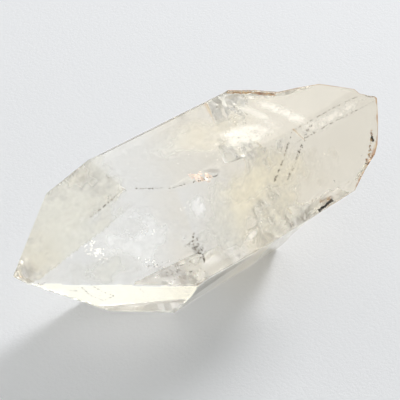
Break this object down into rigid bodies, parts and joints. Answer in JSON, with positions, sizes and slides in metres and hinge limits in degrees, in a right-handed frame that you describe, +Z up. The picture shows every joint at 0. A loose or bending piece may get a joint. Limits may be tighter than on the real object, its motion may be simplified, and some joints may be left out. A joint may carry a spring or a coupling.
{
  "type": "quartz point",
  "caption": "Natural clear quartz crystal point lying on a prism face, with a six-sided prism, a pointed faceted tip and a rough broken base.",
  "frame": {"origin": "centre of the bounding box's underside, on the surface the crystal rests on", "axes": "+X along the crystal's long axis towards the broken base, so the tip points along -X; +Z up, square to the underside and top prism faces"},
  "size_m": [0.0844, 0.0368, 0.0313],
  "materials": {
    "quartz": "clear to milky vitreous quartz, smooth faces with fine growth lines, conchoidal break at the base, faint iron stain"
  },
  "bodies": {
    "root": {"quartz_crystal": "quartz"}
  },
  "joints": []
}
